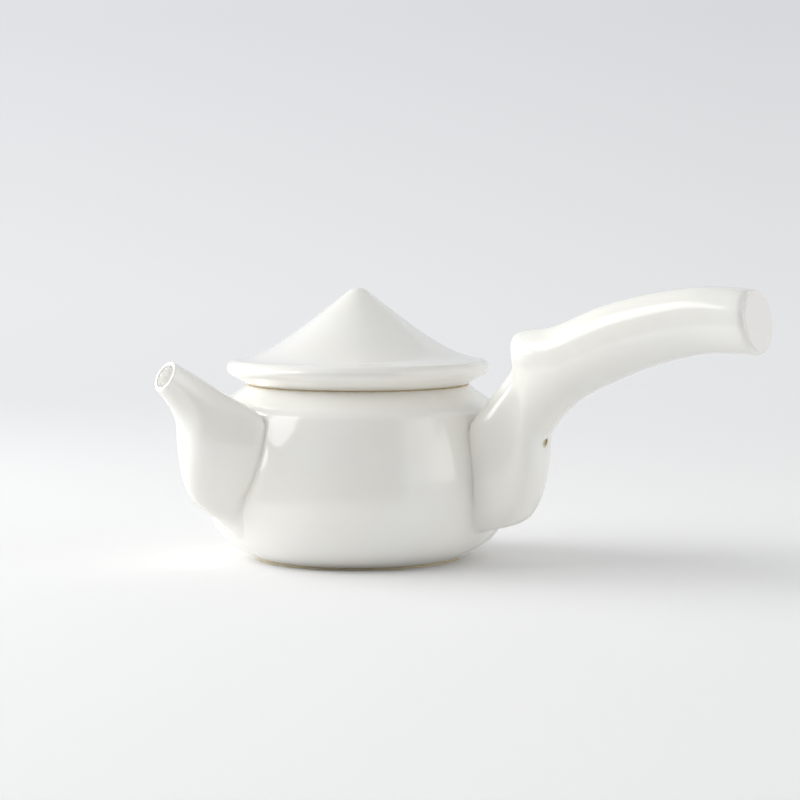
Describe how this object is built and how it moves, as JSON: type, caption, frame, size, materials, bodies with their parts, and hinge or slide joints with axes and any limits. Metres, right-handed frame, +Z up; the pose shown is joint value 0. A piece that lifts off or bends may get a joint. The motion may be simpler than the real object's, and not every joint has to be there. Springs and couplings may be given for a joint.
{
  "type": "side-handled teapot",
  "caption": "Squat glazed porcelain teapot with a loose conical lid, a short upswept spout and a hollow side handle that rises from a thumb rest to a round cut end.",
  "frame": {"origin": "centre of the foot, on the table that the pot stands on", "axes": "+Z up along the pot's axis, -X towards the spout; the handle leaves 114 degrees round from the spout, anticlockwise from above"},
  "size_m": [0.1319, 0.1714, 0.0852],
  "materials": {
    "glaze": "clear gloss glaze over warm white porcelain",
    "bare_clay": "bare fired porcelain, matt"
  },
  "bodies": {
    "pot": {"pot_body": "glaze", "foot_ring": "bare_clay", "spout": "glaze", "strainer": "glaze", "handle": "glaze", "handle_end_disc": "bare_clay"},
    "lid": {"lid_cone": "glaze", "lid_collar": "bare_clay"}
  },
  "joints": [
    {"name": "lid_lift", "type": "slide", "parent": "pot", "child": "lid", "axis": [0, 0, 1], "range_m": [0, 0.06]}
  ]
}
